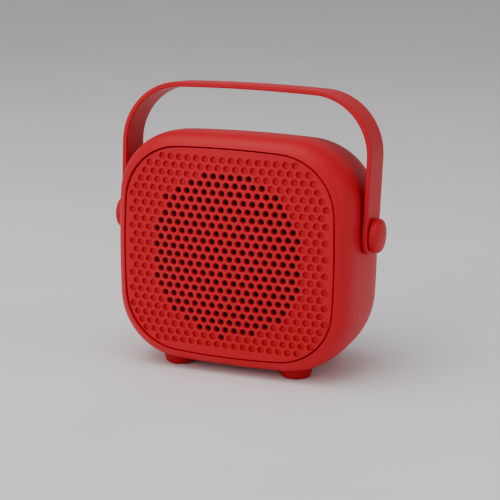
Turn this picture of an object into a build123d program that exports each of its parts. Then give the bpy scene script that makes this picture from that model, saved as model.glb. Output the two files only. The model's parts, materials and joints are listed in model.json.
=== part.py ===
"""Small portable party speaker with a swinging bail handle, in millimetres.

Frame: +Z up, the front faces -Y, the origin is on the ground under the middle of the box.
Depths are counted backwards from the foremost point of the domed front panel.
"""
import os
from math import cos, hypot, pi, radians, sin, sqrt, tan

from build123d import *

os.makedirs("parts", exist_ok=True)

# ---- Driving dimensions ----------------------------------------------------------------------
PITCH = 4.0                       # spacing of the dimples on the front panel
DEPTH = 65.0                      # front panel's foremost point to the rear cover's
FRONT_Y = -DEPTH / 2
PANEL_HALF_W = 47.8               # middle of the parting groove round the front panel
PANEL_HALF_H = 45.0
PANEL_Z = 53.2                    # height of the panel's middle above the ground
PANEL_BOW = 2.2                   # how far each side bulges past its corners
PANEL_CORNER = 25.0
GROOVE = 0.4                      # width of the parting groove
DOME_R = 520.0                    # the front panel is a cap of this sphere
WALL = 2.4
BACK_R = 340.0                    # the rear cover is a cap of this sphere
BACK_APEX_Y = 33.15               # its apex, which the control pocket cuts away
TOP_FALL = 5.6                    # the top slopes down this far towards the back
BASE_RISE = 0.8                   # and the underside rises this far

# (depth, growth past the groove) of the housing's outside, from the front rim to the rear one
RIM_FLAT = 0.2                    # flat left at the front and rear rims
REAR_GROW = -11.6                 # the rear opening, in the same measure
BARREL = [(2.2, GROOVE / 2 + RIM_FLAT), (3.3, 2.1), (5.6, 4.0), (10.0, 5.5), (18.0, 6.2), (30.0, 6.2),
          (41.0, 5.4), (50.0, 3.0), (56.0, -0.8), (60.5, -6.4), (62.9, REAR_GROW + RIM_FLAT)]

PIVOT_Y = -7.3                    # axis of the handle's pivots, along X
PIVOT_Z = 62.4
STEM_R = 4.0                      # stem of each pivot cap, on which the handle turns
EYE_R = 4.06                      # running fit round the stem
STRAP_W = 16.8
STRAP_T = 2.2
STRAP_FOOT_X = 56.8               # outside of each arm, level with the pivot
STRAP_TOP_X = 57.6                # outside of each arm, carried up to the bar's level
HANDLE_TOP_Z = 122.6              # top of the bar while the handle stands upright
HANDLE_LEAN = 4.0                 # degrees that the handle rests leaning backwards

FOOT_X = 27.2
FOOT_Y = (-17.5, 17.5)
FOOT_R = 7.6
FOOT_TOP = 6.2
PAD_TOP = 8.7                     # top of the thick pad in the floor over each foot

DRIVER_Z = 53.5                   # axis of the loudspeaker, and middle of the dimple pattern
FLANGE_R = 30.0
DRIVER_HOLES = [(27.9 * cos(radians(a)), DRIVER_Z + 27.9 * sin(radians(a)))
                for a in (45, 135, 225, 315)]
BUTTON_X = (-21.0, -7.0, 7.0, 21.0)
BUTTON_Z = 63.0
PORT_Z = 41.0
BOARD_FACE_Y = 22.5               # rear face of the circuit board
COVER_FACE_Y = 28.9               # inner face of the rear cover
POCKET_Y = 30.9                   # floor of the rear cover's control pocket


def at_depth(depth):
    """Sketch plane facing the front, so far behind the foremost point."""
    return Plane.XZ.offset(-(FRONT_Y + depth))


def at_y(y):
    """Sketch plane facing the front, at this Y."""
    return Plane.XZ.offset(-y)


def pillow(depth, grow):
    """Bowed square with round corners, grown past the groove line, sketched at a depth."""
    fall = (1 - cos(pi * depth / DEPTH)) / 2
    side = PANEL_HALF_W + grow
    top = PANEL_Z + PANEL_HALF_H + grow - TOP_FALL * fall
    base = PANEL_Z - PANEL_HALF_H - grow + BASE_RISE * fall
    middle = (top + base) / 2
    corner_x = side - PANEL_BOW
    with BuildSketch(at_depth(depth)) as outline:
        with BuildLine():
            ThreePointArc((-corner_x, base + PANEL_BOW), (0, base), (corner_x, base + PANEL_BOW))
            ThreePointArc((corner_x, base + PANEL_BOW), (side, middle), (corner_x, top - PANEL_BOW))
            ThreePointArc((corner_x, top - PANEL_BOW), (0, top), (-corner_x, top - PANEL_BOW))
            ThreePointArc((-corner_x, top - PANEL_BOW), (-side, middle),
                          (-corner_x, base + PANEL_BOW))
        make_face()
        fillet(outline.vertices(), PANEL_CORNER + 0.6 * grow)
    return outline.sketch


# ---- Housing: one moulded barrel, open at the front and at the back ---------------------------
LEDGE_FRONT, LEDGE_BACK = 7.0, 9.5        # seat of the baffle
LEDGE_W = 4.0
REAR_LEDGE = COVER_FACE_Y - FRONT_Y       # depth of the rear cover's seat
REAR_LEDGE_T = 2.4
COVER_SCREWS = [(x, z) for x in (-23.5, 23.5) for z in (25.8, 75.8)]
BAFFLE_SCREWS = [(x, PANEL_Z + z) for x in (-35.6, 35.6) for z in (-33.2, 33.2)]
POST_L = 8.5                              # length of the rear cover's screw posts
SEAT_X, SEAT_T = 52.8, 3.2                # middle and thickness of the handle's seats

CAVITY = [(LEDGE_BACK, 4.6 - WALL)] + [(depth, grow - WALL) for depth, grow in BARREL[4:-2]]
CAVITY.append((REAR_LEDGE - REAR_LEDGE_T, REAR_GROW + 1.6))

with BuildPart() as cavity:
    loft([pillow(depth, grow) for depth, grow in CAVITY])
    # pads over the feet, pivot bosses and screw posts are left standing
    with Locations(*[(x, y, PAD_TOP / 2) for x in (-FOOT_X, FOOT_X) for y in FOOT_Y]):
        Cylinder(10.5, PAD_TOP, mode=Mode.SUBTRACT)
    with Locations((-50, PIVOT_Y, PIVOT_Z), (50, PIVOT_Y, PIVOT_Z)):
        Cylinder(7.0, 8.0, rotation=(0, 90, 0), mode=Mode.SUBTRACT)
    with BuildSketch(at_y(COVER_FACE_Y)):
        with Locations(*COVER_SCREWS):
            Circle(4.0)
    extrude(amount=POST_L, mode=Mode.SUBTRACT)

with BuildPart() as housing:
    loft([pillow(depth, grow) for depth, grow in BARREL])
    add(cavity.part, mode=Mode.SUBTRACT)
    extrude(pillow(LEDGE_FRONT, GROOVE / 2), amount=LEDGE_FRONT, mode=Mode.SUBTRACT)
    extrude(pillow(LEDGE_BACK + 0.5, -LEDGE_W), amount=LEDGE_BACK, mode=Mode.SUBTRACT)
    extrude(pillow(DEPTH, REAR_GROW), amount=DEPTH - REAR_LEDGE, mode=Mode.SUBTRACT)
    extrude(pillow(DEPTH, REAR_GROW - 3.2), amount=7.0, mode=Mode.SUBTRACT)
    with BuildSketch(at_y(COVER_FACE_Y)):
        with Locations(*COVER_SCREWS):
            Circle(4.0)
    extrude(amount=POST_L)
    with BuildSketch(at_depth(LEDGE_FRONT + 9.0)):
        with Locations(*BAFFLE_SCREWS):
            Circle(3.4)
    extrude(amount=9.0)
    # pilot holes of the screws
    with BuildSketch(at_y(COVER_FACE_Y)):
        with Locations(*COVER_SCREWS):
            Circle(1.2)
    extrude(amount=POST_L - 0.5, mode=Mode.SUBTRACT)
    with BuildSketch(at_depth(LEDGE_FRONT + 8.0)):
        with Locations(*BAFFLE_SCREWS):
            Circle(1.2)
    extrude(amount=8.0, mode=Mode.SUBTRACT)
    # flat seats of the handle, and the holes for the pivot stems
    with Locations((-SEAT_X, PIVOT_Y, PIVOT_Z), (SEAT_X, PIVOT_Y, PIVOT_Z)):
        Cylinder(6.5, SEAT_T, rotation=(0, 90, 0))
    with Locations((-50, PIVOT_Y, PIVOT_Z), (50, PIVOT_Y, PIVOT_Z)):
        Cylinder(STEM_R + 0.1, 14.0, rotation=(0, 90, 0), mode=Mode.SUBTRACT)
    # round sockets for the feet
    with Locations(*[(x, y, FOOT_TOP / 2) for x in (-FOOT_X, FOOT_X) for y in FOOT_Y]):
        Cylinder(FOOT_R + 0.2, FOOT_TOP, mode=Mode.SUBTRACT)
housing.part.label = "housing"
export_step(housing.part, "parts/housing.step")

# ---- Front panel: domed, with a hexagonal field of dimples, open in the middle ----------------
ROWS = 24
ROW_PITCH = PITCH * sqrt(3) / 2
FIELD_HALF_W, FIELD_HALF_H, FIELD_CORNER = 11.2 * PITCH, 10.1 * PITCH, 4.2 * PITCH
OPEN_R, OPEN_HALF_W = 8.87 * PITCH, 8.2 * PITCH
DIMPLE_R, DIMPLE_DEPTH = 1.4, 1.2
HOLE_R = 1.2
STRAY_HOLES = {(18, -7.0), (1, -0.5)}     # (row, place in pitches) open outside the round area
PANEL_T = 2.2
PANEL_BACK = 4.6                  # depth of the panel's skirt


def in_field(x, z):
    """True inside the rounded rectangle that the dimples fill, about the field's middle."""
    over_x = max(abs(x) - (FIELD_HALF_W - FIELD_CORNER), 0)
    over_z = max(abs(z) - (FIELD_HALF_H - FIELD_CORNER), 0)
    return hypot(over_x, over_z) < FIELD_CORNER


holes, dimples = [], []
for row in range(ROWS):
    z = (row - (ROWS - 1) / 2) * ROW_PITCH
    for step in range(-12, 13):
        x = (step + 0.5 * (row % 2)) * PITCH
        inside = hypot(x, z) < OPEN_R and abs(x) < OPEN_HALF_W
        if inside or (row, x / PITCH) in STRAY_HOLES:
            holes.append((x, DRIVER_Z + z))
        elif in_field(x, z):
            dimples.append((x, DRIVER_Z + z))
DOME_CENTRE = (0, FRONT_Y + DOME_R, PANEL_Z)

with BuildPart() as panel_hollow:
    extrude(pillow(PANEL_BACK, -GROOVE / 2 - 1.8), amount=PANEL_BACK)
    with Locations(DOME_CENTRE):
        Sphere(DOME_R - PANEL_T, mode=Mode.INTERSECT)

with BuildPart() as dimple_cutter:
    with BuildSketch(at_depth(PANEL_BACK)):
        with Locations(*dimples):
            Circle(DIMPLE_R)
    extrude(amount=PANEL_BACK + 1)
    with Locations(DOME_CENTRE):
        Sphere(DOME_R - DIMPLE_DEPTH, mode=Mode.SUBTRACT)

with BuildPart() as front_panel:
    extrude(pillow(PANEL_BACK, -GROOVE / 2), amount=PANEL_BACK + 1)
    with Locations(DOME_CENTRE):
        Sphere(DOME_R, mode=Mode.INTERSECT)
    add(panel_hollow.part, mode=Mode.SUBTRACT)
    with BuildSketch(at_depth(PANEL_BACK)):
        with Locations(*holes):
            Circle(HOLE_R)
    extrude(amount=PANEL_BACK + 1, mode=Mode.SUBTRACT)
    add(dimple_cutter.part, mode=Mode.SUBTRACT)
front_panel.part.label = "front_panel"
export_step(front_panel.part, "parts/front_panel.step")

# ---- Acoustic cloth: bonded to the back of the dome, over the sound holes ---------------------
with BuildPart() as acoustic_cloth:
    with BuildSketch(at_depth(PANEL_BACK)):
        with Locations((0, DRIVER_Z)):
            Circle(38.0)
    extrude(amount=PANEL_BACK)
    with Locations(DOME_CENTRE):
        Sphere(DOME_R - PANEL_T, mode=Mode.INTERSECT)
        Sphere(DOME_R - PANEL_T - 0.4, mode=Mode.SUBTRACT)
acoustic_cloth.part.label = "acoustic_cloth"
export_step(acoustic_cloth.part, "parts/acoustic_cloth.step")

# ---- Baffle: the plate that carries the loudspeaker, screwed to the ledge ---------------------
BAFFLE_HOLE_R = 25.6
BAFFLE_RECESS = 5.8               # depth of the seats of the baffle's screw heads
with BuildPart() as baffle:
    extrude(pillow(LEDGE_FRONT, -GROOVE / 2), amount=LEDGE_FRONT - PANEL_BACK)
    with BuildSketch(at_depth(LEDGE_FRONT)):
        with Locations((0, DRIVER_Z)):
            Circle(BAFFLE_HOLE_R)
        with Locations(*BAFFLE_SCREWS):
            Circle(1.7)
    extrude(amount=LEDGE_FRONT, mode=Mode.SUBTRACT)
    with BuildSketch(at_depth(BAFFLE_RECESS)):
        with Locations(*BAFFLE_SCREWS):
            Circle(2.9)
    extrude(amount=BAFFLE_RECESS, mode=Mode.SUBTRACT)
    with BuildSketch(at_depth(LEDGE_FRONT)):
        with Locations(*DRIVER_HOLES):
            Circle(1.15)
    extrude(amount=1.7, mode=Mode.SUBTRACT)
baffle.part.label = "baffle"
export_step(baffle.part, "parts/baffle.step")

with BuildPart() as baffle_screws:
    with BuildSketch(at_depth(BAFFLE_RECESS)):
        with Locations(*BAFFLE_SCREWS):
            Circle(2.6)
    extrude(amount=BAFFLE_RECESS - PANEL_BACK - 0.1)
    with BuildSketch(at_depth(BAFFLE_RECESS)):
        with Locations(*BAFFLE_SCREWS):
            Circle(1.15)
    extrude(amount=-8.0)
    with BuildSketch(at_depth(PANEL_BACK + 0.1)):
        with Locations(*BAFFLE_SCREWS):
            Rectangle(2.6, 0.6)
            Rectangle(0.6, 2.6)
    extrude(amount=-0.6, mode=Mode.SUBTRACT)
baffle_screws.part.label = "baffle_screws"
export_step(baffle_screws.part, "parts/baffle_screws.step")

# ---- Loudspeaker: every part is turned about the driver's axis --------------------------------
DRIVER_AXIS = Axis((0, 0, DRIVER_Z), (0, 1, 0))
GASKET_T, FLANGE_T = 0.8, 1.0
FLANGE_FRONT = LEDGE_FRONT + GASKET_T
TOP_PLATE, MAGNET, YOKE = (24.0, 27.0), (27.0, 34.0), (34.0, 37.0)
POLE_R, COIL_R, GAP_R = 6.6, 7.4, 8.6


def turned(points):
    """Closed outline of (radius, depth) points, to be turned about the loudspeaker's axis."""
    with BuildSketch(Plane.XY.offset(DRIVER_Z)) as outline:
        with BuildLine():
            Polyline(*[(r, FRONT_Y + depth) for r, depth in points], close=True)
        make_face()
    return outline.sketch


def ring(depth, inner, outer):
    """Flat ring about the loudspeaker's axis, sketched at a depth."""
    with BuildSketch(at_depth(depth)) as outline:
        with Locations((0, DRIVER_Z)):
            Circle(outer)
            if inner > 0:
                Circle(inner, mode=Mode.SUBTRACT)
    return outline.sketch


with BuildPart() as driver_gasket:
    extrude(ring(FLANGE_FRONT, 26.0, FLANGE_R), amount=GASKET_T)
    with BuildSketch(at_depth(FLANGE_FRONT)):
        with Locations(*DRIVER_HOLES):
            Circle(1.5)
    extrude(amount=GASKET_T, mode=Mode.SUBTRACT)
driver_gasket.part.label = "driver_gasket"
export_step(driver_gasket.part, "parts/driver_gasket.step")

# pressed steel basket: flange, sloping wall with four windows, rear plate
BASKET = [(FLANGE_R, 7.8), (FLANGE_R, 8.8), (25.4, 8.8), (24.4, 10.0), (19.4, 19.0), (18.8, 20.2),
          (18.8, 24.0), (8.8, 24.0), (8.8, 23.0), (17.8, 23.0), (17.8, 19.8), (18.6, 18.4),
          (23.6, 9.4), (25.0, 7.8)]
TERMINAL_Y = FRONT_Y + 12.0
TERMINAL_Z = DRIVER_Z + 25.1
with BuildPart() as driver_basket:
    revolve(turned(BASKET), axis=DRIVER_AXIS)
    with BuildSketch(at_depth(22.0)):
        with Locations((0, DRIVER_Z)):
            with PolarLocations(19.5, 4, start_angle=45):
                Rectangle(7.6, 17.0)
    extrude(amount=10.5, mode=Mode.SUBTRACT)
    with Locations((0, TERMINAL_Y, TERMINAL_Z - 1.2)):
        Box(5.0, 3.0, 2.4)
    with BuildSketch(at_depth(FLANGE_FRONT + FLANGE_T)):
        with Locations(*DRIVER_HOLES):
            Circle(1.5)
    extrude(amount=FLANGE_T, mode=Mode.SUBTRACT)
driver_basket.part.label = "driver_basket"
export_step(driver_basket.part, "parts/driver_basket.step")

# rubber half roll between the basket and the cone
ROLL_MID, ROLL_R, ROLL_T = 22.6, 2.0, 0.5
with BuildPart() as surround:
    with BuildSketch(Plane.XY.offset(DRIVER_Z)):
        with Locations((ROLL_MID, FRONT_Y + FLANGE_FRONT)):
            Circle(ROLL_R)
            Circle(ROLL_R - ROLL_T, mode=Mode.SUBTRACT)
        with Locations((ROLL_MID, FRONT_Y + FLANGE_FRONT + ROLL_R)):
            Rectangle(3 * ROLL_R, 2 * ROLL_R, mode=Mode.SUBTRACT)
        for rim in (ROLL_MID - ROLL_R - 0.9, ROLL_MID + ROLL_R + 0.15):
            with Locations((rim, FRONT_Y + FLANGE_FRONT - ROLL_T / 2)):
                Rectangle(2.2, ROLL_T)
    revolve(axis=DRIVER_AXIS)
surround.part.label = "surround"
export_step(surround.part, "parts/surround.step")

CONE = [(20.6, 7.85), (20.6, 8.35), (19.8, 8.35), (7.9, 15.9), (7.9, 15.3), (19.4, 7.85)]
with BuildPart() as cone:
    revolve(turned(CONE), axis=DRIVER_AXIS)
cone.part.label = "cone"
export_step(cone.part, "parts/cone.step")

CAP_R, CAP_SEAT, CAP_BALL = 9.4, 14.0, 13.0
with BuildPart() as dust_cap:
    with BuildSketch(at_depth(CAP_SEAT)):
        with Locations((0, DRIVER_Z)):
            Circle(CAP_R)
    extrude(amount=5.0)
    with Locations((0, FRONT_Y + CAP_SEAT + sqrt(CAP_BALL ** 2 - CAP_R ** 2), DRIVER_Z)):
        Sphere(CAP_BALL, mode=Mode.INTERSECT)
        Sphere(CAP_BALL - 0.4, mode=Mode.SUBTRACT)
dust_cap.part.label = "dust_cap"
export_step(dust_cap.part, "parts/dust_cap.step")

with BuildPart() as voice_coil:
    extrude(ring(26.8, COIL_R, COIL_R + 0.3), amount=11.0)
    extrude(ring(26.8, COIL_R, COIL_R + 0.8), amount=4.0)
voice_coil.part.label = "voice_coil"
export_step(voice_coil.part, "parts/voice_coil.step")

SPIDER_R, WAVES = 17.75, 5
wave = (SPIDER_R - COIL_R - 0.4) / WAVES
crests = [(COIL_R + 0.4 + 0.5 * wave * i, 20.3 + 0.5 * (-1) ** i) for i in range(2 * WAVES + 1)]
with BuildPart() as spider:
    revolve(turned(crests + [(r, depth + 0.5) for r, depth in reversed(crests)]), axis=DRIVER_AXIS)
spider.part.label = "spider"
export_step(spider.part, "parts/spider.step")

with BuildPart() as top_plate:
    extrude(ring(TOP_PLATE[1], GAP_R, 19.0), amount=TOP_PLATE[1] - TOP_PLATE[0])
top_plate.part.label = "top_plate"
export_step(top_plate.part, "parts/top_plate.step")

with BuildPart() as magnet:
    extrude(ring(MAGNET[1], 10.5, 21.0), amount=MAGNET[1] - MAGNET[0])
    chamfer(magnet.edges().filter_by(GeomType.CIRCLE), 0.5)
magnet.part.label = "magnet"
export_step(magnet.part, "parts/magnet.step")

with BuildPart() as yoke:
    extrude(ring(YOKE[1], 0, 19.0), amount=YOKE[1] - YOKE[0])
    extrude(ring(YOKE[0], 0, POLE_R), amount=YOKE[0] - TOP_PLATE[0])
    with BuildSketch(at_depth(YOKE[1])):
        with Locations((0, DRIVER_Z)):
            Circle(2.0)
    extrude(amount=YOKE[1] - TOP_PLATE[0], mode=Mode.SUBTRACT)
yoke.part.label = "yoke"
export_step(yoke.part, "parts/yoke.step")

# phenolic strip with two solder tags, on a window post of the basket
with BuildPart() as terminal_strip:
    with BuildSketch(Plane.XY.offset(TERMINAL_Z)):
        with Locations((0, TERMINAL_Y)):
            RectangleRounded(13.0, 5.0, 0.8)
    extrude(amount=1.0)
    with Locations((-4.0, TERMINAL_Y, TERMINAL_Z + 1.9), (4.0, TERMINAL_Y, TERMINAL_Z + 1.9)):
        Box(2.2, 3.0, 1.8)
terminal_strip.part.label = "terminal_strip"
export_step(terminal_strip.part, "parts/terminal_strip.step")

with BuildPart() as driver_screws:
    with BuildSketch(at_depth(FLANGE_FRONT + FLANGE_T)):
        with Locations(*DRIVER_HOLES):
            Circle(2.4)
    extrude(amount=-1.4)
    with BuildSketch(at_depth(FLANGE_FRONT + FLANGE_T)):
        with Locations(*DRIVER_HOLES):
            Circle(1.1)
    extrude(amount=FLANGE_T + GASKET_T + 1.6)
driver_screws.part.label = "driver_screws"
export_step(driver_screws.part, "parts/driver_screws.step")

# ---- Rear cover: domed inset panel with a flat pocket for the buttons and sockets --------------
POCKET_W, POCKET_H, POCKET_Z = 66.0, 42.0, 52.0
BUTTON_R, BUTTON_HOLE_R = 4.2, 4.4
SWITCH_X, USB_X, CARD_X, AUX_X = -19.0, -7.0, 6.5, 20.0
LIGHT_Z, MIC_X = 52.0, 9.0
BEHIND_Y = DEPTH / 2 + 2.0        # a plane clear of the cover's outside
BOARD_SCREWS = [(x, z) for x in (-27.0, 27.0) for z in (36.8, 68.6)]

with BuildPart() as rear_cover:
    extrude(pillow(DEPTH, REAR_GROW - GROOVE / 2), amount=DEPTH - REAR_LEDGE)
    extrude(pillow(DEPTH, REAR_GROW - GROOVE / 2), amount=-1.0)
    with Locations((0, BACK_APEX_Y - BACK_R, POCKET_Z)):
        Sphere(BACK_R, mode=Mode.INTERSECT)
    # control pocket
    with BuildSketch(at_y(BEHIND_Y)):
        with Locations((0, POCKET_Z)):
            RectangleRounded(POCKET_W, POCKET_H, 9.0)
    extrude(amount=BEHIND_Y - POCKET_Y, mode=Mode.SUBTRACT)
    # posts for the circuit board
    with BuildSketch(at_y(COVER_FACE_Y)):
        with Locations(*BOARD_SCREWS):
            Circle(2.6)
    extrude(amount=COVER_FACE_Y - BOARD_FACE_Y)
    with BuildSketch(at_y(COVER_FACE_Y + 0.6)):
        with Locations(*BOARD_SCREWS):
            Circle(0.95)
    extrude(amount=7.0, mode=Mode.SUBTRACT)
    # openings for the buttons, the switch, the sockets, the light and the microphone
    with BuildSketch(at_y(POCKET_Y + 1)):
        with Locations(*[(x, BUTTON_Z) for x in BUTTON_X]):
            Circle(BUTTON_HOLE_R)
        with Locations((SWITCH_X, PORT_Z)):
            RectangleRounded(8.4, 3.6, 0.8)
        with Locations((USB_X, PORT_Z)):
            RectangleRounded(9.6, 3.9, 1.9)
        with Locations((CARD_X, PORT_Z)):
            RectangleRounded(12.6, 2.4, 0.6)
        with Locations((AUX_X, PORT_Z)):
            Circle(3.1)
        with Locations((0, LIGHT_Z)):
            Circle(1.3)
        with Locations((MIC_X, LIGHT_Z)):
            Circle(0.6)
    extrude(amount=4.0, mode=Mode.SUBTRACT)
    # countersunk screw holes
    with BuildSketch(at_y(BEHIND_Y)):
        with Locations(*COVER_SCREWS):
            Circle(1.6)
    extrude(amount=8.0, mode=Mode.SUBTRACT)
    with BuildSketch(at_y(BEHIND_Y)):
        with Locations(*COVER_SCREWS):
            Circle(3.0)
    extrude(amount=BEHIND_Y - 30.2, mode=Mode.SUBTRACT)
rear_cover.part.label = "rear_cover"
export_step(rear_cover.part, "parts/rear_cover.step")

with BuildPart() as cover_screws:
    with BuildSketch(at_y(30.2)):
        with Locations(*COVER_SCREWS):
            Circle(2.7)
    extrude(amount=-1.2)
    with BuildSketch(at_y(30.2)):
        with Locations(*COVER_SCREWS):
            Circle(1.15)
    extrude(amount=8.5)
    with BuildSketch(at_y(31.4)):
        with Locations(*COVER_SCREWS):
            Rectangle(2.8, 0.6)
            Rectangle(0.6, 2.8)
    extrude(amount=0.7, mode=Mode.SUBTRACT)
cover_screws.part.label = "cover_screws"
export_step(cover_screws.part, "parts/cover_screws.step")

# ---- Buttons: four moulded caps, held behind the cover by their flanges ------------------------
BUTTON_TRAVEL = 0.6
PLUNGER_Y = 27.0
BUTTON_TOP_Y = POCKET_Y + 1.0
for name, x in zip(("mode", "back", "play", "next"), BUTTON_X):
    with BuildPart() as button:
        with BuildSketch(at_y(BUTTON_TOP_Y)):
            with Locations((x, BUTTON_Z)):
                Circle(BUTTON_R)
        extrude(amount=BUTTON_TOP_Y - 28.5)
        fillet(button.faces().sort_by(Axis.Y)[-1].edges(), 0.5)
        with BuildSketch(at_y(28.6)):
            with Locations((x, BUTTON_Z)):
                Circle(BUTTON_R + 0.9)
        extrude(amount=28.6 - PLUNGER_Y - BUTTON_TRAVEL - 0.1)
    button.part.label = f"{name}_button"
    export_step(button.part, f"parts/{name}_button.step")

# ---- Circuit board and what is soldered to it --------------------------------------------------
BOARD_W, BOARD_H, BOARD_Z, BOARD_T = 60.0, 38.0, 52.7, 1.6
BOARD_BACK_Y = BOARD_FACE_Y - BOARD_T
with BuildPart() as circuit_board:
    with BuildSketch(at_y(BOARD_FACE_Y)):
        with Locations((0, BOARD_Z)):
            RectangleRounded(BOARD_W, BOARD_H, 2.5)
        with Locations(*BOARD_SCREWS):
            Circle(1.2, mode=Mode.SUBTRACT)
    extrude(amount=BOARD_T)
circuit_board.part.label = "circuit_board"
export_step(circuit_board.part, "parts/circuit_board.step")

with BuildPart() as board_screws:
    with BuildSketch(at_y(BOARD_BACK_Y)):
        with Locations(*BOARD_SCREWS):
            Circle(2.0)
    extrude(amount=1.2)
    with BuildSketch(at_y(BOARD_BACK_Y)):
        with Locations(*BOARD_SCREWS):
            Circle(0.9)
    extrude(amount=-6.0)
board_screws.part.label = "board_screws"
export_step(board_screws.part, "parts/board_screws.step")

with BuildPart() as tact_switches:
    with BuildSketch(at_y(BOARD_FACE_Y)):
        with Locations(*[(x, BUTTON_Z) for x in BUTTON_X]):
            Rectangle(6.0, 6.0)
    extrude(amount=-3.5)
    with BuildSketch(at_y(BOARD_FACE_Y)):
        with Locations(*[(x, BUTTON_Z) for x in BUTTON_X]):
            Circle(1.75)
    extrude(amount=BOARD_FACE_Y - PLUNGER_Y)
tact_switches.part.label = "tact_switches"
export_step(tact_switches.part, "parts/tact_switches.step")

# slide switch: a can with a slot, and the knob that slides in it
SWITCH_CAN_Y = 27.4
SWITCH_TRAVEL = 2.4
with BuildPart() as power_switch:
    with Locations((SWITCH_X, (BOARD_FACE_Y + SWITCH_CAN_Y) / 2, PORT_Z)):
        Box(9.0, SWITCH_CAN_Y - BOARD_FACE_Y, 4.4)
    with Locations((SWITCH_X, SWITCH_CAN_Y - 1.2, PORT_Z)):
        Box(6.0, 2.4, 2.4, mode=Mode.SUBTRACT)
power_switch.part.label = "power_switch"
export_step(power_switch.part, "parts/power_switch.step")

KNOB_X = SWITCH_X - SWITCH_TRAVEL / 2
with BuildPart() as power_knob:
    with Locations((KNOB_X, (SWITCH_CAN_Y - 2.0 + 31.9) / 2, PORT_Z)):
        Box(2.8, 31.9 - SWITCH_CAN_Y + 2.0, 1.9)
    with BuildSketch(at_y(31.9)):
        with Locations((KNOB_X, PORT_Z)):
            RectangleRounded(4.2, 2.6, 0.6)
    extrude(amount=31.9 - 28.2)
    with BuildSketch(at_y(31.9)):
        with Locations((KNOB_X - 1.0, PORT_Z), (KNOB_X, PORT_Z), (KNOB_X + 1.0, PORT_Z)):
            Rectangle(0.4, 1.9)
    extrude(amount=0.35, mode=Mode.SUBTRACT)
power_knob.part.label = "power_knob"
export_step(power_knob.part, "parts/power_knob.step")

with BuildPart() as charging_socket:
    with BuildSketch(at_y(30.4)):
        with Locations((USB_X, PORT_Z)):
            RectangleRounded(8.9, 3.2, 1.55)
            RectangleRounded(8.3, 2.6, 1.25, mode=Mode.SUBTRACT)
    extrude(amount=30.4 - BOARD_FACE_Y)
    with BuildSketch(at_y(29.6)):
        with Locations((USB_X, PORT_Z)):
            RectangleRounded(6.6, 0.7, 0.3)
    extrude(amount=29.6 - BOARD_FACE_Y)
    with BuildSketch(at_y(BOARD_FACE_Y + 1.2)):
        with Locations((USB_X, PORT_Z)):
            RectangleRounded(8.9, 3.2, 1.55)
    extrude(amount=1.2)
charging_socket.part.label = "charging_socket"
export_step(charging_socket.part, "parts/charging_socket.step")

with BuildPart() as card_slot:
    with Locations((CARD_X, (BOARD_FACE_Y + 28.6) / 2, PORT_Z)):
        Box(14.4, 28.6 - BOARD_FACE_Y, 3.0)
    with Locations((CARD_X, (BOARD_FACE_Y + 2.0 + 28.6) / 2, PORT_Z)):
        Box(11.4, 28.6 - BOARD_FACE_Y - 2.0, 1.1, mode=Mode.SUBTRACT)
card_slot.part.label = "card_slot"
export_step(card_slot.part, "parts/card_slot.step")

with BuildPart() as aux_socket:
    with Locations((AUX_X, (BOARD_FACE_Y + 28.4) / 2, PORT_Z)):
        Box(7.6, 28.4 - BOARD_FACE_Y, 7.0)
    with BuildSketch(at_y(30.6)):
        with Locations((AUX_X, PORT_Z)):
            Circle(2.9)
    extrude(amount=2.4)
    with BuildSketch(at_y(31.0)):
        with Locations((AUX_X, PORT_Z)):
            Circle(1.8)
    extrude(amount=31.0 - BOARD_FACE_Y - 0.5, mode=Mode.SUBTRACT)
aux_socket.part.label = "aux_socket"
export_step(aux_socket.part, "parts/aux_socket.step")

with BuildPart() as light_pipe:
    with BuildSketch(at_y(POCKET_Y + 0.2)):
        with Locations((0, LIGHT_Z)):
            Circle(1.25)
    extrude(amount=POCKET_Y + 0.2 - 24.2)
    with BuildSketch(at_y(28.7)):
        with Locations((0, LIGHT_Z)):
            Circle(2.1)
    extrude(amount=1.0)
light_pipe.part.label = "light_pipe"
export_step(light_pipe.part, "parts/light_pipe.step")

with BuildPart() as status_light:
    with Locations((0, BOARD_FACE_Y + 0.6, LIGHT_Z)):
        Box(3.2, 1.2, 1.6)
status_light.part.label = "status_light"
export_step(status_light.part, "parts/status_light.step")

with BuildPart() as microphone:
    with BuildSketch(at_y(BOARD_FACE_Y + 5.6)):
        with Locations((MIC_X, LIGHT_Z)):
            Circle(3.0)
    extrude(amount=5.6)
    with BuildSketch(at_y(BOARD_FACE_Y + 5.6)):
        with Locations((MIC_X, LIGHT_Z)):
            Circle(1.0)
    extrude(amount=0.6, mode=Mode.SUBTRACT)
microphone.part.label = "microphone"
export_step(microphone.part, "parts/microphone.step")

with BuildPart() as radio_module:
    with Locations((-17.0, BOARD_BACK_Y - 0.4, 60.0)):
        Box(13.0, 0.8, 18.0)
    with Locations((-17.0, BOARD_BACK_Y - 1.6, 58.0)):
        Box(11.0, 1.6, 12.0)
radio_module.part.label = "radio_module"
export_step(radio_module.part, "parts/radio_module.step")

with BuildPart() as amplifier_chip:
    with Locations((4.0, BOARD_BACK_Y - 0.8, 60.0)):
        Box(6.0, 1.6, 5.0)
    with Locations(*[(4.0 + 1.27 * i, BOARD_BACK_Y - 0.3, 60.0) for i in (-1.5, -0.5, 0.5, 1.5)]):
        Box(0.5, 0.4, 7.4)
amplifier_chip.part.label = "amplifier_chip"
export_step(amplifier_chip.part, "parts/amplifier_chip.step")

with BuildPart() as capacitors:
    with BuildSketch(at_y(BOARD_BACK_Y)):
        with Locations((17.0, 63.0), (17.0, 54.0)):
            Circle(3.2)
    extrude(amount=6.5)
    fillet(capacitors.faces().sort_by(Axis.Y)[:2].edges(), 0.5)
capacitors.part.label = "capacitors"
export_step(capacitors.part, "parts/capacitors.step")

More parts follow.
